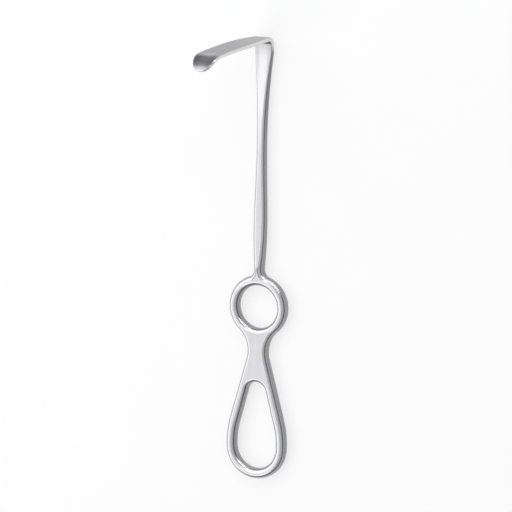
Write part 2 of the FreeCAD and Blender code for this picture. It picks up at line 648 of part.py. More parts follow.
sections = [
    rounded_bar("root", "root_width", "handle_thickness", "handle_edge_radius", 0.0, 0.0),
    rounded_bar("grip", "grip_width", "grip_thickness", "shaft_edge_radius", GRIP_AT, GRIP_LIFT),
    rounded_bar("middle", "middle_width", "middle_thickness", "shaft_edge_radius", MIDDLE_AT, MIDDLE_LIFT),
    rounded_bar("waist", "waist_width", "waist_thickness", "shaft_edge_radius", WAIST_AT, WAIST_LIFT),
    rounded_bar("flare", "flare_width", "flare_thickness", "flare_edge_radius", FLARE_AT, FLARE_LIFT),
    rounded_bar("heel", "heel_width", "heel_thickness", "blade_edge_radius", 1.0, 0.0),
]
bar = shaft.newObject("PartDesign::AdditiveLoft", "drawn_bar")
bar.Profile = sections[0]
bar.Sections = sections[1:]

# One forging
retractor = doc.addObject("Part::MultiFuse", "forging")
retractor.Label = "retractor"
retractor.Shapes = [handle, shaft, blade]
retractor.Refine = True
retractor.Placement.Base = FreeCAD.Vector(0, -length / 2, 0)
retractor.setExpression("Placement.Base.y", "-sizes.overall_length / 2")
doc.recompute()

for item in doc.Objects:
    if "Invalid" in item.State or "Error" in item.State:
        raise RuntimeError(f"{item.Name} could not be worked out: {item.State}")
if retractor.Shape.isNull() or not retractor.Shape.isValid() or len(retractor.Shape.Solids) != 1:
    raise RuntimeError("the retractor is not one closed solid")

os.makedirs("parts", exist_ok=True)
retractor.Shape.exportStep("parts/retractor.step")
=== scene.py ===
"""Handheld surgical retractor in satin stainless steel, lying on its back on a pale table."""

import math

import bmesh
import bpy
import numpy as np
from mathutils import Matrix, Vector


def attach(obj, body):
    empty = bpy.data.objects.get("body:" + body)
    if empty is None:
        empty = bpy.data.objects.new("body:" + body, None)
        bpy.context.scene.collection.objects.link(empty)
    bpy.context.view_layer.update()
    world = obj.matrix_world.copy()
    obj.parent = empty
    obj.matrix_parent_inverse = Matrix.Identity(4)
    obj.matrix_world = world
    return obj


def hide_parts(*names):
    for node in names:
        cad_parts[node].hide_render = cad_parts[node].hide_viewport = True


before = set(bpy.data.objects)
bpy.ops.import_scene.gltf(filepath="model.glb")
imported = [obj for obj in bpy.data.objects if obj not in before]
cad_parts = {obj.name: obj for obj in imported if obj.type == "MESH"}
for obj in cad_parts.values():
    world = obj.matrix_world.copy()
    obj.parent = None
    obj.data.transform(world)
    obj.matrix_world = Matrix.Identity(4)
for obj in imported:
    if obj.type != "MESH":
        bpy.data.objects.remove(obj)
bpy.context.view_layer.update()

# Sizes of the forging, in millimetres and degrees. They are the construction's, but for the rounding
# of the long edges, which is up to 0.4 mm more here, to look as soft as in the photograph
MM = 0.001
LENGTH = 220.0
BLADE_REACH = 70.0
HANDLE_THICKNESS = 6.2
LOOP_WIDTH, LOOP_WIDEST, LOOP_SIDE_RADIUS = 32.2, 17.5, 43.0
HOLE_WIDTH, HOLE_BASE, HOLE_HEIGHT = 22.4, 5.0, 43.5
HOLE_SIDE_RADIUS, HOLE_TIP_RADIUS = 38.0, 5.5
NECK_WIDTH, NECK_RADIUS = 10.4, 14.0
RING_RADIUS, RING_HOLE_RADIUS, RING_HEIGHT = 15.6, 10.7, 86.0
SHOULDER_RADIUS, SHOULDER_LENGTH = 4.0, 4.5
HEEL_THICKNESS, HEEL_RUN, HEEL_RADIUS, THROAT_RADIUS = 2.9, 3.0, 5.0, 2.0
BLADE_ROOT_THICKNESS, BLADE_TIP_THICKNESS, BLADE_WIDTH = 2.3, 1.7, 13.2
SPREAD_HEIGHT, WIDEST_HEIGHT, HOLLOW_RADIUS = 6.5, 27.0, 25.0
BOW_RADIUS, BOW_HEIGHT = 570.0, 13.0
LIP_RADIUS, LIP_ANGLE, TONGUE_RADIUS = 13.0, 64.0, 5.2

SHAFT_START = RING_HEIGHT + RING_RADIUS + SHOULDER_LENGTH
SHAFT_END = LENGTH - HEEL_RADIUS - HEEL_RUN
LIP_START = BLADE_REACH - LIP_RADIUS * math.sin(math.radians(LIP_ANGLE))

# The shaft's sections: share of its length, width, thickness, edge radius, lift of its back
SHARE, WIDTH, THICKNESS, ROUNDING, LIFT = range(5)
SECTIONS = np.array(
    [
        (0.00, 4.5, 6.2, 2.0, 0.00),
        (0.12, 6.3, 5.2, 1.9, 0.30),
        (0.36, 5.8, 4.9, 1.9, 0.25),
        (0.60, 4.7, 4.8, 1.8, 0.15),
        (0.82, 6.1, 4.2, 1.4, 0.05),
        (1.00, 9.2, 2.9, 0.6, 0.00),
    ]
)

# The handle's edges: place along and radius, which is less where the wall beside the loop's hole is thin
HANDLE_EDGES = np.array(
    [(0.0, 2.35), (24.0, 2.35), (34.0, 2.0), (58.0, 2.0), (70.0, 2.35), (98.0, 2.35), (SHAFT_START, 2.0)]
)

# How finely the outlines and the mesh are divided, in millimetres where no unit is named
FINE = 0.05  # spacing at which outlines are worked out
SAME = 0.0005  # distance within which two points of an outline are one
ARC_LEAST = 8  # fewest steps of an arc
TURN_POINTS = 1100  # points of each turn of the side profile
SPACING = 0.45  # spacing of the mesh along the outline
CORNER_STEPS = 8  # mesh steps round each rounded edge
FLAT_STEPS = 8  # mesh steps across a flat face
MERGE = 1e-6  # metres within which neighbouring patches share a point


def turned(centre, radius, degrees):
    """Points of a circle: centre plus radius times the cosine and sine of the angles."""
    angles = np.radians(degrees)
    return np.stack([centre[0] + radius * np.cos(angles), centre[1] + radius * np.sin(angles)], axis=-1)


def arc(centre, radius, first, last):
    """Points evenly spaced along an arc from the first angle to the last, in degrees."""
    steps = max(int(abs(math.radians(last - first)) * radius / FINE), ARC_LEAST)
    return turned(centre, radius, np.linspace(first, last, steps + 1))


def direction(start, end):
    """Angle of the line from one point to another, in degrees."""
    return math.degrees(math.atan2(end[1] - start[1], end[0] - start[0]))


def joined(*stretches):
    """One line from stretches that follow each other, without the points that they share."""
    line = np.concatenate([np.atleast_2d(stretch) for stretch in stretches])
    step = np.linalg.norm(np.diff(line, axis=0), axis=1)
    return line[np.concatenate([[True], step > SAME])]


def travelled(line):
    """Length run through along a line: the sum of its steps so far, from 0 at its first point."""
    return np.concatenate([[0.0], np.cumsum(np.linalg.norm(np.diff(line, axis=0), axis=1))])


def respaced(line, count):
    """The same line with so many points at even spacing along it, on straight runs between the old."""
    run = travelled(line)
    even = np.linspace(0.0, run[-1], count)
    return np.stack([np.interp(even, run, column) for column in line.T], axis=-1)


def mirrored(line):
    """The same line on the left half: its half widths are negated."""
    return line * np.array([-1.0, 1.0])


def eased(steps):
    """Shares from 0 to 1, closer at both ends: half of 1 minus the cosine, over an even half turn."""
    return (1 - np.cos(np.linspace(0.0, math.pi, steps + 1))) / 2


def smooth_through(places, values, at):
    """Natural cubic spline: cubics through the values whose slope and bend agree where they meet."""
    gap = np.diff(places)
    rate = np.diff(values) / gap
    count = len(places)
    system = np.eye(count)
    inner = np.arange(1, count - 1)
    system[inner, inner - 1] = gap[:-1]
    system[inner, inner] = 2 * (gap[:-1] + gap[1:])
    system[inner, inner + 1] = gap[1:]
    right = np.zeros(count)
    right[1:-1] = 6 * np.diff(rate)
    bend = np.linalg.solve(system, right)
    cell = np.clip(np.searchsorted(places, at) - 1, 0, count - 2)
    width = gap[cell]
    before, after = places[cell + 1] - at, at - places[cell]
    cubic = (bend[cell] * before**3 + bend[cell + 1] * after**3) / (6 * width)
    low = (values[cell] / width - bend[cell] * width / 6) * before
    high = (values[cell + 1] / width - bend[cell + 1] * width / 6) * after
    return cubic + low + high


def shaft_size(column, along):
    """A size of the shaft at places along the instrument: the spline through its sections."""
    share = np.clip((along - SHAFT_START) / (SHAFT_END - SHAFT_START), 0.0, 1.0)
    return smooth_through(SECTIONS[:, SHARE], SECTIONS[:, column], share)


def edge_radius(along):
    """Rounding of the edges: straight between the handle's values, then the shaft's spline."""
    handle = np.interp(along, HANDLE_EDGES[:, 0], HANDLE_EDGES[:, 1])
    return np.where(along < SHAFT_START, handle, shaft_size(ROUNDING, along))


def base_radius(half_width, widest, side_radius):
    """Radius of the end arc that touches the end line and, from inside, the side arc.

    It is the side radius squared, less the squares of the side arc's offset and of the height of
    the widest place, over twice the side radius less that height.
    """
    offset = side_radius - half_width
    return (side_radius**2 - offset**2 - widest**2) / (2 * (side_radius - widest))


def tangent_turn(low, low_radius, high, high_radius, sign):
    """Angle of the normal of the line that touches two circles, on one side (-1) or crossed (1).

    Its turn from the line of centres has the difference or the sum of the radii, over the distance
    between the centres, as its cosine.
    """
    apart = math.hypot(high[0] - low[0], high[1] - low[1])
    turn = math.degrees(math.acos((low_radius + sign * high_radius) / apart))
    return direction(low, high) - turn


def handle_outline():
    """Right half of the handle from the loop's end to the shaft, and the height of its neck.

    Arcs that touch one another: end, side, neck, ring and shoulder. The flank is the straight line
    that touches the side and the neck.
    """
    half = LOOP_WIDTH / 2
    side_centre = (half - LOOP_SIDE_RADIUS, LOOP_WIDEST)
    end_radius = base_radius(half, LOOP_WIDEST, LOOP_SIDE_RADIUS)
    end_centre = (0.0, end_radius)
    ring_centre = (0.0, RING_HEIGHT)
    neck_x = NECK_WIDTH / 2 + NECK_RADIUS
    neck_centre = (neck_x, RING_HEIGHT - math.sqrt((RING_RADIUS + NECK_RADIUS) ** 2 - neck_x**2))
    half_root = SECTIONS[0, WIDTH] / 2
    shoulder_x = half_root + SHOULDER_RADIUS
    shoulder_rise = math.sqrt((RING_RADIUS + SHOULDER_RADIUS) ** 2 - shoulder_x**2)
    shoulder_centre = (shoulder_x, RING_HEIGHT + shoulder_rise)
    end_turn = direction(side_centre, end_centre)
    taper = tangent_turn(side_centre, LOOP_SIDE_RADIUS, neck_centre, NECK_RADIUS, 1)
    neck_turn = direction(ring_centre, neck_centre)
    shoulder_turn = direction(ring_centre, shoulder_centre)
    line = joined(
        arc(end_centre, end_radius, -90, end_turn),
        arc(side_centre, LOOP_SIDE_RADIUS, end_turn, taper),
        arc(neck_centre, NECK_RADIUS, 180 + taper, 180 + neck_turn),
        arc(ring_centre, RING_RADIUS, neck_turn, shoulder_turn),
        arc(shoulder_centre, SHOULDER_RADIUS, 180 + shoulder_turn, 180),
        (half_root, SHAFT_START),
    )
    return line, neck_centre[1]


def loop_hole():
    """Right half of the loop's hole from its base to its upper end: arcs for end, side and tip.

    The flank is the straight line that touches the side and the tip.
    """
    half = HOLE_WIDTH / 2
    side_centre = (half - HOLE_SIDE_RADIUS, LOOP_WIDEST)
    end_radius = base_radius(half, LOOP_WIDEST - HOLE_BASE, HOLE_SIDE_RADIUS)
    end_centre = (0.0, HOLE_BASE + end_radius)
    tip_centre = (0.0, HOLE_BASE + HOLE_HEIGHT - HOLE_TIP_RADIUS)
    taper = tangent_turn(side_centre, HOLE_SIDE_RADIUS, tip_centre, HOLE_TIP_RADIUS, -1)
    end_turn = direction(side_centre, end_centre)
    return joined(
        arc(end_centre, end_radius, -90, end_turn),
        arc(side_centre, HOLE_SIDE_RADIUS, end_turn, taper),
        arc(tip_centre, HOLE_TIP_RADIUS, taper, 90),
    )


def touching_centre(low, low_radius, high, high_radius, radius):
    """Centre of the arc that holds two circles and touches them, behind the line that joins them.

    Its distance from each circle's centre is the arc's radius less that circle's.
    """
    low_reach, high_reach = radius - low_radius, radius - high_radius
    across, along = high[0] - low[0], high[1] - low[1]
    apart = math.hypot(across, along)
    share = (low_reach**2 - high_reach**2 + apart**2) / (2 * apart**2)
    behind = math.sqrt(low_reach**2 - (share * apart) ** 2) / apart
    return (low[0] + share * across - behind * along, low[1] + share * along + behind * across)


def inside_bow(radius, height):
    """Centre, at a height, of a circle that touches the blade's bow from inside.

    Its distance from the bow's centre is the bow's radius less its own.
    """
    reach = math.sqrt((BOW_RADIUS - radius) ** 2 - (height - BOW_HEIGHT) ** 2)
    return (LENGTH - BOW_RADIUS + reach, height)


def side_profile():
    """Back and front of the instrument seen from the side, stretch by stretch.

    Each stretch has the same number of points on the back and the front: shaft with its lift and
    thickness, bend as two quarter turns, blade as two gentle arcs of one radius, lip as two arcs.
    """
    bow_centre = (LENGTH - BOW_RADIUS, BOW_HEIGHT)
    inner_lip = LIP_RADIUS - BLADE_TIP_THICKNESS
    heel_centre = inside_bow(HEEL_RADIUS, HEEL_RADIUS)
    lip_centre = inside_bow(LIP_RADIUS, LIP_START)
    throat_centre = (LENGTH - BLADE_ROOT_THICKNESS - THROAT_RADIUS, HEEL_THICKNESS + THROAT_RADIUS)
    inner_centre = touching_centre(throat_centre, THROAT_RADIUS, lip_centre, inner_lip, BOW_RADIUS)
    heel_turn, lip_turn = direction(bow_centre, heel_centre), direction(bow_centre, lip_centre)
    throat_turn, inner_turn = direction(inner_centre, throat_centre), direction(inner_centre, lip_centre)

    along = np.arange(-FINE, SHAFT_END, FINE)
    thickness = np.where(along < SHAFT_START, HANDLE_THICKNESS, shaft_size(THICKNESS, along))
    lift = np.where(along < SHAFT_START, 0.0, shaft_size(LIFT, along))
    share = np.linspace(0.0, 1.0, TURN_POINTS)
    turns = (
        (heel_centre, HEEL_RADIUS, -90, heel_turn, throat_centre, THROAT_RADIUS, -90, throat_turn),
        (bow_centre, BOW_RADIUS, heel_turn, lip_turn, inner_centre, BOW_RADIUS, throat_turn, inner_turn),
        (lip_centre, LIP_RADIUS, lip_turn, LIP_ANGLE, lip_centre, inner_lip, inner_turn, LIP_ANGLE),
    )
    back = [np.stack([along, lift], axis=-1)]
    front = [np.stack([along, lift + thickness], axis=-1)]
    for outer, outer_radius, low, high, inner, inner_radius, inner_low, inner_high in turns:
        back.append(turned(outer, outer_radius, low + (high - low) * share))
        front.append(turned(inner, inner_radius, inner_low + (inner_high - inner_low) * share))
    return np.concatenate(back), np.concatenate(front)


BACK, FRONT = side_profile()
RUN = travelled(BACK) - FINE  # place along the back of each point of the side profile
BLANK_END = RUN[-1]


def tongue_outline():
    """Right edge of the blade from the bend to the tip of its lip, as half width and place along.

    Below the lip the half width follows the height: hollow arc, swelling arc, then parallel. On the
    lip it follows the distance q from the tip: a round end and a cheek arc that meets the parallel
    side. The place along the lip is the angle whose sine is q over the lip's radius.
    """
    half_heel, half_blade = SECTIONS[-1, WIDTH] / 2, BLADE_WIDTH / 2
    spread, rise = half_blade - half_heel, WIDEST_HEIGHT - SPREAD_HEIGHT
    swell_radius = (spread**2 + rise**2) / (2 * spread) - HOLLOW_RADIUS
    turn = math.degrees(math.asin(rise / (HOLLOW_RADIUS + swell_radius)))
    flank = joined(
        (half_heel, SPREAD_HEIGHT),
        arc((half_heel + HOLLOW_RADIUS, SPREAD_HEIGHT), HOLLOW_RADIUS, 180, 180 - turn),
        arc((half_blade - swell_radius, WIDEST_HEIGHT), swell_radius, -turn, 0),
    )
    rising = RUN > SHAFT_END + HEEL_RUN
    flank[:, 1] = np.interp(flank[:, 1], BACK[rising, 1], RUN[rising])

    run = LIP_RADIUS * math.sin(math.radians(LIP_ANGLE))
    cheek_radius = (half_blade**2 - TONGUE_RADIUS**2 + (run - TONGUE_RADIUS) ** 2) / (
        2 * (half_blade - TONGUE_RADIUS)
    )
    cheek_centre = (half_blade - cheek_radius, run)
    cheek_turn = direction(cheek_centre, (0.0, TONGUE_RADIUS))
    tip = joined(
        arc(cheek_centre, cheek_radius, 0, cheek_turn),
        arc((0.0, TONGUE_RADIUS), TONGUE_RADIUS, cheek_turn, -90),
    )
    lean = np.arcsin(np.clip(tip[:, 1] / LIP_RADIUS, 0.0, 1.0))
    tip[:, 1] = BLANK_END - LIP_RADIUS * lean
    return joined((half_heel, SHAFT_END), flank, tip)


def blank_outline():
    """Right edge of the whole blank, evenly spaced, and the places of the neck and the shaft's start."""
    handle, neck_height = handle_outline()
    along = np.arange(SHAFT_START, SHAFT_END, FINE)
    shaft = np.stack([shaft_size(WIDTH, along) / 2, along], axis=-1)
    neck = int(np.argmin(np.abs(handle[:, 1] - neck_height) + (handle[:, 0] > NECK_WIDTH)))
    stretches = [
        respaced(line, int(travelled(line)[-1] / SPACING) + 2)
        for line in (handle[: neck + 1], handle[neck:], joined(shaft, tongue_outline()))
    ]
    marks = (len(stretches[0]) - 1, len(stretches[0]) + len(stretches[1]) - 2)
    return np.concatenate([stretches[0], stretches[1][1:], stretches[2][1:]]), marks


def outward(line, hand):
    """Unit normals of a half outline that starts and ends on the middle line, to the given hand.

    Each is the slope between the neighbouring points, turned by a right angle.
    """
    slope = np.gradient(line, axis=0)
    slope[0, 1] = slope[-1, 1] = 0.0
    normal = np.stack([slope[:, 1], -slope[:, 0]], axis=-1)
    return hand * normal / np.linalg.norm(normal, axis=1, keepdims=True)


def bent(across, along, depth):
    """Places of points of the blank after bending: the back's, plus depth times the way to the front."""
    back = [np.interp(along, RUN, BACK[:, axis]) for axis in (0, 1)]
    front = [np.interp(along, RUN, FRONT[:, axis]) for axis in (0, 1)]
    y = back[0] + (front[0] - back[0]) * depth - LENGTH / 2
    z = back[1] + (front[1] - back[1]) * depth
    return np.stack([across, y, z], axis=-1) * MM


def local_thickness(along):
    """Distance from back to front at places along the instrument."""
    gaps = np.linalg.norm(FRONT - BACK, axis=1)
    return np.interp(along, RUN, gaps)


def placed(name, data):
    """A new object that shows the data, at the scene's origin."""
    thing = bpy.data.objects.new(name, data)
    bpy.context.scene.collection.objects.link(thing)
    return thing


# Wear of the edges by hands and polishing mop, lightened as painted highlight, and painted shade on the
# walls
BACK_WEAR_AND_SHADE = 0.35  # share of the front's wear, painted highlight and painted wall shade that the back has
POLISH_HIGHLIGHT_GAIN = 3.08  # brings the greatest sine cubed times cosine to 1
WALL_SHADE_POWER = 1.5  # how fast the painted shade of the walls gives way to the rounding


class Forging:
    """Collects grids of points of the blank and makes one closed mesh of them."""

    def __init__(self):
        self.places, self.blanks, self.faces = [], [], []
        # Shares of the polished edges with painted highlight, and of the painted shade on the walls
        self.finishes_and_shades = {"polish": [], "wall": []}
        self.count = 0

    def grid(self, across, along, depth, **finish):
        """Adds a grid of points as quads, with the share on it of the polished edge, lightened as painted
        highlight, and of the painted shade on the walls.
        """
        rows, columns = across.shape
        index = np.arange(rows * columns).reshape(rows, columns) + self.count
        quads = np.stack([index[:-1, :-1], index[1:, :-1], index[1:, 1:], index[:-1, 1:]], axis=-1)
        self.places.append(bent(across, along, depth).reshape(-1, 3))
        thick = local_thickness(along)
        self.blanks.append(np.stack([across, along, depth * thick], axis=-1).reshape(-1, 3) * MM)
        for name, shares in self.finishes_and_shades.items():
            shares.append(np.broadcast_to(finish.get(name, 0.0), across.shape).reshape(-1))
        self.faces.append(quads.reshape(-1, 4))
        self.count += rows * columns

    def rim(self, line, hand):
        """Rounded edge all along a half outline, back to front, and its mirror image.

        From the outline the surface goes in by r(1 - cos a) and away from the face by r(1 - sin a),
        with a from 90 degrees at the face to 0 at the wall. The polished share, worn in by handling and
        lightened further as painted highlight, is sine cubed times cosine, which peaks at 60 degrees, and
        the painted shade of the wall is a power of the cosine; both are weaker on the back half. On the
        blade the wall has no painted shade, and the polished share is at least the cosine. Returns the
        inner edge of the rim.
        """
        normal = outward(line, hand)
        radius = edge_radius(line[:, 1])[:, None]
        thick = local_thickness(line[:, 1])[:, None]
        on_blade = np.clip((line[:, 1:] - SHAFT_END) / HEEL_RUN, 0.0, 1.0)
        turn = np.linspace(math.pi / 2, 0.0, CORNER_STEPS + 1)[None, :]
        inset = radius * (1 - np.cos(turn))
        away = radius * (1 - np.sin(turn))
        inset = np.concatenate([inset, inset[:, ::-1]], axis=1)
        depth = np.concatenate([away, thick - away[:, ::-1]], axis=1) / thick
        turns = np.concatenate([turn, turn[:, ::-1]], axis=1)
        half_weight = np.concatenate([np.full_like(turn, BACK_WEAR_AND_SHADE), np.ones_like(turn)], axis=1)
        # Polished edges lightened as painted highlight, and walls darkened as painted shade
        handled_and_highlight = POLISH_HIGHLIGHT_GAIN * np.sin(turns) ** 3 * np.cos(turns) * half_weight
        polish = np.maximum(handled_and_highlight, on_blade * np.cos(turns))
        wall = (1 - on_blade) * np.cos(turns) ** WALL_SHADE_POWER * half_weight
        across = line[:, :1] - normal[:, :1] * inset
        along = line[:, 1:] - normal[:, 1:] * inset
        self.grid(across, along, depth, polish=polish, wall=wall)
        self.grid(-across, along, depth, polish=polish, wall=wall)
        return np.stack([across[:, 0], along[:, 0]], axis=-1)

    def flat(self, first, second):
        """Flat stretch between two lines with as many points each, on the back and on the front."""
        points = first[:, None, :] + (second - first)[:, None, :] * eased(FLAT_STEPS)[None, :, None]
        for face in (0.0, 1.0):
            self.grid(points[..., 0], points[..., 1], np.full(points.shape[:2], face))

    def both_flats(self, first, second):
        """A flat stretch on the right and its mirror image on the left."""
        self.flat(first, second)
        self.flat(mirrored(first), mirrored(second))

    def made(self, name):
        """The grids as one mesh object, their shared edges merged and their faces turned outwards."""
        mesh = bpy.data.meshes.new(name)
        mesh.from_pydata(np.concatenate(self.places), [], np.concatenate(self.faces))
        blank = mesh.attributes.new("blank", "FLOAT_VECTOR", "POINT")
        blank.data.foreach_set("vector", np.concatenate(self.blanks).ravel())
        for finish, shares in self.finishes_and_shades.items():
            layer = mesh.attributes.new(finish, "FLOAT", "POINT")
            layer.data.foreach_set("value", np.concatenate(shares))
        work = bmesh.new()
        work.from_mesh(mesh)
        bmesh.ops.remove_doubles(work, verts=work.verts, dist=MERGE)
        bmesh.ops.dissolve_degenerate(work, edges=work.edges, dist=MERGE / 2)
        bmesh.ops.recalc_face_normals(work, faces=work.faces)
        work.to_mesh(mesh)
        work.free()
        mesh.shade_smooth()
        return placed(name, mesh)


def forge_retractor():
    """Ring, loop, shaft, blade and lip as one skin over the bent blank.

    Rims go round the outline and both holes. Flats lie between each hole and the outline on both
    sides, across the shaft and blade, and in the three wedges between a hole and the narrow places
    next to it.
    """
    outline, (neck, shaft) = blank_outline()
    hole = respaced(loop_hole(), neck + 1)
    ring_turns = np.linspace(-90, 90, shaft - neck + 1)
    ring_hole = turned((0.0, RING_HEIGHT), RING_HOLE_RADIUS, ring_turns)

    forging = Forging()
    edge = forging.rim(outline, 1)
    hole_edge = forging.rim(hole, -1)
    ring_edge = forging.rim(ring_hole, -1)
    forging.both_flats(hole_edge, edge[: neck + 1])
    forging.both_flats(ring_edge, edge[neck : shaft + 1])
    forging.flat(mirrored(edge[shaft:]), edge[shaft:])
    apexes = (hole_edge[-1], ring_edge[0], ring_edge[-1])
    corners = (edge[neck], edge[neck], edge[shaft])
    for apex, corner in zip(apexes, corners):
        right = apex + (corner - apex) * eased(FLAT_STEPS)[:, None]
        forging.flat(mirrored(right), right)
    return forging.made("satin_retractor")


class Signal:
    """A socket's value, on which sums and products add Math nodes."""

    def __init__(self, tree, socket):
        self.tree, self.socket = tree, socket

    def maths(self, operation, *values):
        """A Math node's result on the values."""
        return self.tree.signal("ShaderNodeMath", 0, {"operation": operation}, dict(enumerate(values)))

    def __add__(self, other):
        return self.maths("ADD", self, other)

    def __radd__(self, other):
        return self.maths("ADD", other, self)

    def __sub__(self, other):
        return self.maths("SUBTRACT", self, other)

    def __rsub__(self, other):
        return self.maths("SUBTRACT", other, self)

    def __mul__(self, other):
        return self.maths("MULTIPLY", self, other)

    def __rmul__(self, other):
        return self.maths("MULTIPLY", other, self)

    def above(self, low, high):
        """0 below the low value, 1 above the high one, and smooth between them."""
        settings = {"interpolation_type": "SMOOTHSTEP"}
        return self.tree.signal("ShaderNodeMapRange", 0, settings, {0: self, 1: low, 2: high})


class Tree:
    """The nodes of one material or of the world."""

    def __init__(self, owner):
        owner.use_nodes = True
        self.nodes, self.links = owner.node_tree.nodes, owner.node_tree.links
        self.nodes.clear()

    def node(self, kind, settings=None, sockets=None):
        """A node of a kind with its settings, then the values or links of its sockets."""
        node = self.nodes.new(kind)
        for name, value in (settings or {}).items():
            setattr(node, name, value)
        for name, value in (sockets or {}).items():
            if isinstance(value, Signal):
                self.links.new(value.socket, node.inputs[name])
            else:
                node.inputs[name].default_value = value
        return node

    def signal(self, kind, output, settings=None, sockets=None):
        """One output of a new node."""
        return Signal(self, self.node(kind, settings, sockets).outputs[output])

    def part(self, vector, axis):
        """One axis of a vector, X, Y or Z."""
        return self.signal("ShaderNodeSeparateXYZ", axis, None, {"Vector": vector})

    def layer(self, name, output):
        """An attribute of the mesh."""
        return self.signal("ShaderNodeAttribute", output, {"attribute_name": name})

    def drawn_out(self, place, length, turn=0.0):
        """The place scaled along the blank, so that patterns run long, and turned, in radians."""
        sockets = {"Vector": place, "Rotation": (0.0, 0.0, turn), "Scale": (1.0, length, 1.0)}
        return self.signal("ShaderNodeMapping", "Vector", None, sockets)

    def noise(self, place, fineness, detail=2.0):
        """Soft noise from 0 to 1 with about so many lumps a metre."""
        sockets = {"Vector": place, "Scale": fineness, "Detail": detail}
        return self.signal("ShaderNodeTexNoise", "Fac", {"noise_dimensions": "3D"}, sockets)

    def mixed(self, factor, low, high):
        """A colour between two others."""
        return self.signal("ShaderNodeMix", 2, {"data_type": "RGBA"}, {0: factor, 6: low, 7: high})

    def finish(self, shader, output="ShaderNodeOutputMaterial"):
        """Ends the tree in a shader."""
        self.node(output, None, {"Surface": Signal(self, shader.outputs[0])})


# Patterns in the steel: fineness per metre and detail
GRAIN, STREAKS, PEENING = (5200.0, 3.0), (900.0, 2.0), (2600.0, 2.0)
CLOUDS, SMUDGES, SCRATCHES = (38.0, 3.0), (95.0, 4.0), (1500.0, 1.0)
MEAN = 0.5  # the middle of each pattern's values
GRAIN_DRAW, STREAK_DRAW, SCRATCH_DRAW = 0.025, 0.06, 0.03  # scale along the blank against 1 across it
SCRATCH_TURN = 0.9  # radians at which the scratches cross the blank
SMUDGE_CUT, SCRATCH_CUT = (0.52, 0.72), (0.735, 0.78)  # values between which each comes in

# Tones of the steel, among them painted sheen, painted shade and painted highlight
DARK_SATIN, LIGHT_SATIN = (0.37, 0.37, 0.385, 1.0), (0.45, 0.45, 0.46, 1.0)
# Painted sheen down the upper shaft's middle; painted shade on the blade and the throat
PAINTED_SHEEN, PAINTED_BLADE_SHADE = (0.55, 0.55, 0.555, 1.0), (0.25, 0.25, 0.26, 1.0)
# Painted shade on the walls, darker up the shaft
LOWER_WALL_SHADE, UPPER_WALL_SHADE = (0.28, 0.282, 0.29, 1.0), (0.16, 0.16, 0.167, 1.0)
# Polished edges, lightened further as painted highlight
POLISH_AND_HIGHLIGHT = (0.78, 0.78, 0.785, 1.0)
CLOUD_TONE, STREAK_TONE = 0.5, 0.7  # how far each pattern moves the satin from dark to light
SHEEN_COVER, BLADE_SHADE_COVER, WALL_SHADE_COVER, POLISH_HIGHLIGHT_COVER = 0.85, 0.85, 0.9, 0.8  # share of each tone laid on

# Metres along the blank over which the painted sheen and painted shade change: up the shaft,
# from the throat to the blade, and at the lip, back from its tip
UPPER_SHAFT, BLADE_ROOT = (0.155, 0.19), (0.21, 0.2195)
LIP_ROOT = (BLANK_END * MM - 0.016, BLANK_END * MM - 0.012)
LIP_CLEARED = 0.8  # share of the blade's painted shade that the lip is free of
SHEEN_MIDDLE = (0.0008, 0.0036)  # metres from the middle line over which the painted sheen goes out

# Roughness of the satin, what each pattern adds to it, and what polish takes off
SATIN_ROUGHNESS, POLISH_SMOOTHS = 0.3, 0.14
GRAIN_ROUGHNESS, CLOUD_ROUGHNESS, SMUDGE_ROUGHNESS = 0.16, 0.1, 0.05

# Height of each pattern in the bump, the share of it that polish levels, and the bump's own size
GRAIN_HEIGHT, STREAK_HEIGHT, PEENING_HEIGHT, SCRATCH_DEPTH = 0.5, 0.6, 0.35, 0.6
POLISH_LEVELS = 0.8
BUMP_STRENGTH, BUMP_DISTANCE = 0.12, 0.00006


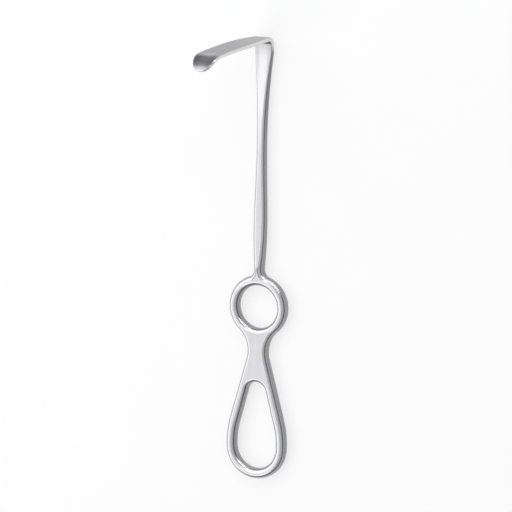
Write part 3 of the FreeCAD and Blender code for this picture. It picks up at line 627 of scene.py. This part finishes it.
def satin_steel():
    """Brushed and blasted stainless steel: fine grain along the blank, edges polished by handling.

    Clouds and streaks set the satin between dark and light. Over it lie, each by its own share, a
    painted sheen down the middle of the upper shaft, painted shade on the blade and the throat,
    painted shade on the walls, and the polished edges, lightened further as painted highlight.
    """
    material = bpy.data.materials.new("satin_steel")
    tree = Tree(material)
    blank = tree.layer("blank", "Vector")
    # Shares of the polished edges with painted highlight, and of the painted shade on the walls
    polish = tree.layer("polish", "Fac")
    wall = tree.layer("wall", "Fac")
    place = tree.signal("ShaderNodeTexCoord", "Object")

    grain = tree.noise(tree.drawn_out(blank, GRAIN_DRAW), *GRAIN)
    streaks = tree.noise(tree.drawn_out(blank, STREAK_DRAW), *STREAKS)
    peened = tree.noise(place, *PEENING)
    cloud = tree.noise(place, *CLOUDS)
    smudge = tree.noise(place, *SMUDGES).above(*SMUDGE_CUT)
    scratches = tree.noise(tree.drawn_out(blank, SCRATCH_DRAW, SCRATCH_TURN), *SCRATCHES)
    scratches = scratches.above(*SCRATCH_CUT)

    along, across = tree.part(blank, "Y"), tree.part(blank, "X")
    high = along.above(*UPPER_SHAFT)
    middle = 1.0 - across.maths("ABSOLUTE", across).above(*SHEEN_MIDDLE)
    blade = along.above(*BLADE_ROOT) * (1.0 - along.above(*LIP_ROOT) * LIP_CLEARED)
    tone = (cloud - MEAN) * CLOUD_TONE + (streaks - MEAN) * STREAK_TONE + MEAN
    colour = tree.mixed(tone.above(0.0, 1.0), DARK_SATIN, LIGHT_SATIN)
    # Painted sheen: a lighter stripe down the middle of the upper shaft
    colour = tree.mixed(high * middle * SHEEN_COVER, colour, PAINTED_SHEEN)
    # Painted shade: the blade and the throat darker, mostly cleared on the lip
    colour = tree.mixed(blade * BLADE_SHADE_COVER, colour, PAINTED_BLADE_SHADE)
    # Painted shade: the walls darker, more so up the shaft
    colour = tree.mixed(wall * WALL_SHADE_COVER, colour, tree.mixed(high, LOWER_WALL_SHADE, UPPER_WALL_SHADE))
    # Polished edges: worn polish, lightened as painted highlight
    colour = tree.mixed(polish * POLISH_HIGHLIGHT_COVER, colour, POLISH_AND_HIGHLIGHT)

    roughness = SATIN_ROUGHNESS + (grain - MEAN) * GRAIN_ROUGHNESS + (cloud - MEAN) * CLOUD_ROUGHNESS
    roughness = roughness + smudge * SMUDGE_ROUGHNESS - polish * POLISH_SMOOTHS
    height = grain * GRAIN_HEIGHT + streaks * STREAK_HEIGHT + peened * PEENING_HEIGHT
    height = (height - scratches * SCRATCH_DEPTH) * (1.0 - polish * POLISH_LEVELS)
    sizes = {"Height": height, "Strength": BUMP_STRENGTH, "Distance": BUMP_DISTANCE}
    bump = tree.signal("ShaderNodeBump", "Normal", None, sizes)
    sockets = {"Base Color": colour, "Metallic": 1.0, "Roughness": roughness, "Normal": bump}
    tree.finish(tree.node("ShaderNodeBsdfPrincipled", None, sockets))
    return material


BLACK, WHITE = (0.0, 0.0, 0.0, 1.0), (1.0, 1.0, 1.0, 1.0)

# The table top: a faint mottle of two whites
TABLE_TONES = ((0.9, 0.9, 0.905, 1.0), (0.93, 0.93, 0.935, 1.0))
TABLE_FINENESS, TABLE_ROUGHNESS = 30.0, 0.8
TABLE_REACH = 3.0  # metres from the table's middle to its sides
TABLE_LIFT = 0.72  # share of plain white in the table where it is seen or mirrored; shadow stays in the rest


def sheet(name, corners, material):
    """One flat face with four corners."""
    mesh = bpy.data.meshes.new(name)
    mesh.from_pydata(corners, [], [(0, 1, 2, 3)])
    mesh.materials.append(material)
    return placed(name, mesh)


def mottled_shader(tree, fineness, tones, roughness):
    """A matt shader whose colour goes softly between two tones."""
    mottle = tree.noise(tree.signal("ShaderNodeTexCoord", "Object"), fineness)
    sockets = {"Base Color": tree.mixed(mottle, *tones), "Roughness": roughness}
    return tree.node("ShaderNodeBsdfPrincipled", None, sockets)


def table_finish():
    """White matt laminate, lifted towards plain white where it is seen or mirrored."""
    material = bpy.data.materials.new("white_table")
    tree = Tree(material)
    matt = mottled_shader(tree, TABLE_FINENESS, TABLE_TONES, TABLE_ROUGHNESS)
    white = tree.node("ShaderNodeEmission", None, {"Color": WHITE, "Strength": 1.0})
    path = tree.node("ShaderNodeLightPath")
    seen = [Signal(tree, path.outputs[f"Is {kind} Ray"]) for kind in ("Camera", "Glossy", "Transmission")]
    lift = (seen[0] + seen[1] + seen[2]) * TABLE_LIFT
    shaders = {0: lift, 1: Signal(tree, matt.outputs[0]), 2: Signal(tree, white.outputs[0])}
    tree.finish(tree.node("ShaderNodeMixShader", None, shaders))
    return material


def lay_table():
    """A large square table top with the instrument's back on it."""
    reach = TABLE_REACH
    corners = [(-reach, -reach, 0.0), (reach, -reach, 0.0), (reach, reach, 0.0), (-reach, reach, 0.0)]
    table = sheet("table", corners, table_finish())


# The card's two ends, its place beyond the instrument's middle and its height, in metres
CARD_LEFT, CARD_RIGHT, CARD_BACK, CARD_HEIGHT = -0.18, -0.02, 0.17, 0.085
CARD_TONES = ((0.3, 0.3, 0.302, 1.0), (0.36, 0.36, 0.362, 1.0))
CARD_FINENESS, CARD_ROUGHNESS = 400.0, 0.9


def stand_card():
    """A low grey felt card beyond the blade, for the lip to mirror. It is seen in reflections alone."""
    material = bpy.data.materials.new("grey_felt")
    tree = Tree(material)
    tree.finish(mottled_shader(tree, CARD_FINENESS, CARD_TONES, CARD_ROUGHNESS))
    low = [(CARD_LEFT, CARD_BACK, 0.0), (CARD_RIGHT, CARD_BACK, 0.0)]
    high = [(CARD_RIGHT, CARD_BACK, CARD_HEIGHT), (CARD_LEFT, CARD_BACK, CARD_HEIGHT)]
    card = sheet("dark_card", low + high, material)
    card.visible_camera = card.visible_diffuse = card.visible_shadow = False


# Greys of the room: everywhere, and what is added overhead, up the walls and on the left, each with
# the parts of a direction, upwards or to the left, between which it comes in
ROOM_GREY, ROOM_WHITE = 0.12, (1.0, 1.0, 1.02, 1.0)
OVERHEAD_GREY, OVERHEAD_FROM = 0.38, (0.3, 0.95)
WALLS_GREY, WALLS_FROM = 0.15, (-0.1, 0.9)
LEFT_GREY, LEFT_FROM = 0.4, (0.2, 1.0)

# Lamps: name, place and target in metres, width and height, power in watts
SOFT_BOXES = (
    ("overhead", (-1.2, 0.5, 1.1), (-1.2, 0.5, 0.0), (2.1, 3.8), 29.0),
    ("upper_strip", (0.34, 0.92, 0.69), (0.0, 0.0, 0.0), (1.2, 0.13), 2.6),
    ("low_strip", (0.36, 1.13, 0.14), (0.0, 0.0, 0.0), (1.1, 0.26), 3.4),
)


def light_the_room():
    """A dim room, paler overhead and on the left than at the right: the sum of its greys."""
    world = bpy.data.worlds.new("studio")
    bpy.context.scene.world = world
    tree = Tree(world)
    view = tree.signal("ShaderNodeTexCoord", "Generated")
    height, across = tree.part(view, "Z"), tree.part(view, "X")
    overhead = height.above(*OVERHEAD_FROM) * OVERHEAD_GREY
    walls = height.above(*WALLS_FROM) * WALLS_GREY
    left = (across * -1.0).above(*LEFT_FROM) * LEFT_GREY
    colour = tree.mixed(overhead + walls + left + ROOM_GREY, BLACK, ROOM_WHITE)
    shader = tree.node("ShaderNodeBackground", None, {"Color": colour, "Strength": 1.0})
    tree.finish(shader, "ShaderNodeOutputWorld")


def soft_box(name, place, target, size, power):
    """A rectangular lamp at a place, turned to a target."""
    lamp = bpy.data.lights.new(name, "AREA")
    lamp.shape = "RECTANGLE"
    lamp.size, lamp.size_y = size
    lamp.energy = power
    holder = placed(name, lamp)
    holder.location = place
    holder.rotation_euler = (Vector(target) - Vector(place)).to_track_quat("-Z", "Y").to_euler()


# Where the photograph was taken from: turned about the upright, raised, and rolled, in degrees
CAMERA_TURN, CAMERA_RISE, CAMERA_ROLL = 26.87, 10.0, 0.94
CAMERA_DISTANCE = 2.95  # metres from the instrument's middle
CAMERA_SIGHT = 20.0  # metres that the camera sees
FRAME_WIDTH = 0.2514  # metres that the picture spans at the instrument
AIM_ACROSS, AIM_UP = -0.00324, 0.00076  # metres to the picture's middle from the instrument's middle
SENSOR = 36.0  # millimetres across the camera's sensor


def photograph_camera():
    """A long lens at the photograph's angle, aimed near the middle of the instrument's back."""
    turn, rise, roll = (math.radians(value) for value in (CAMERA_TURN, CAMERA_RISE, CAMERA_ROLL))
    right = Vector((math.cos(turn), 0.0, -math.sin(turn)))
    back = Vector((math.sin(turn) * math.cos(rise), math.sin(rise), math.cos(turn) * math.cos(rise)))
    up = back.cross(right)
    rolled_right = right * math.cos(roll) + up * math.sin(roll)
    rolled_up = up * math.cos(roll) - right * math.sin(roll)
    data = bpy.data.cameras.new("camera")
    data.sensor_width = SENSOR
    data.lens = SENSOR * CAMERA_DISTANCE / FRAME_WIDTH
    data.clip_end = CAMERA_SIGHT
    camera = placed("camera", data)
    place = back * CAMERA_DISTANCE + rolled_right * AIM_ACROSS + rolled_up * AIM_UP
    axes = Matrix((rolled_right, rolled_up, back)).transposed().to_4x4()
    camera.matrix_world = Matrix.Translation(place) @ axes
    bpy.context.scene.camera = camera


retractor = forge_retractor()
retractor.data.materials.append(satin_steel())
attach(retractor, "root")
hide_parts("retractor")

lay_table()
light_the_room()
for lamp in SOFT_BOXES:
    soft_box(*lamp)
stand_card()
photograph_camera()
bpy.context.scene.view_settings.view_transform = "Standard"
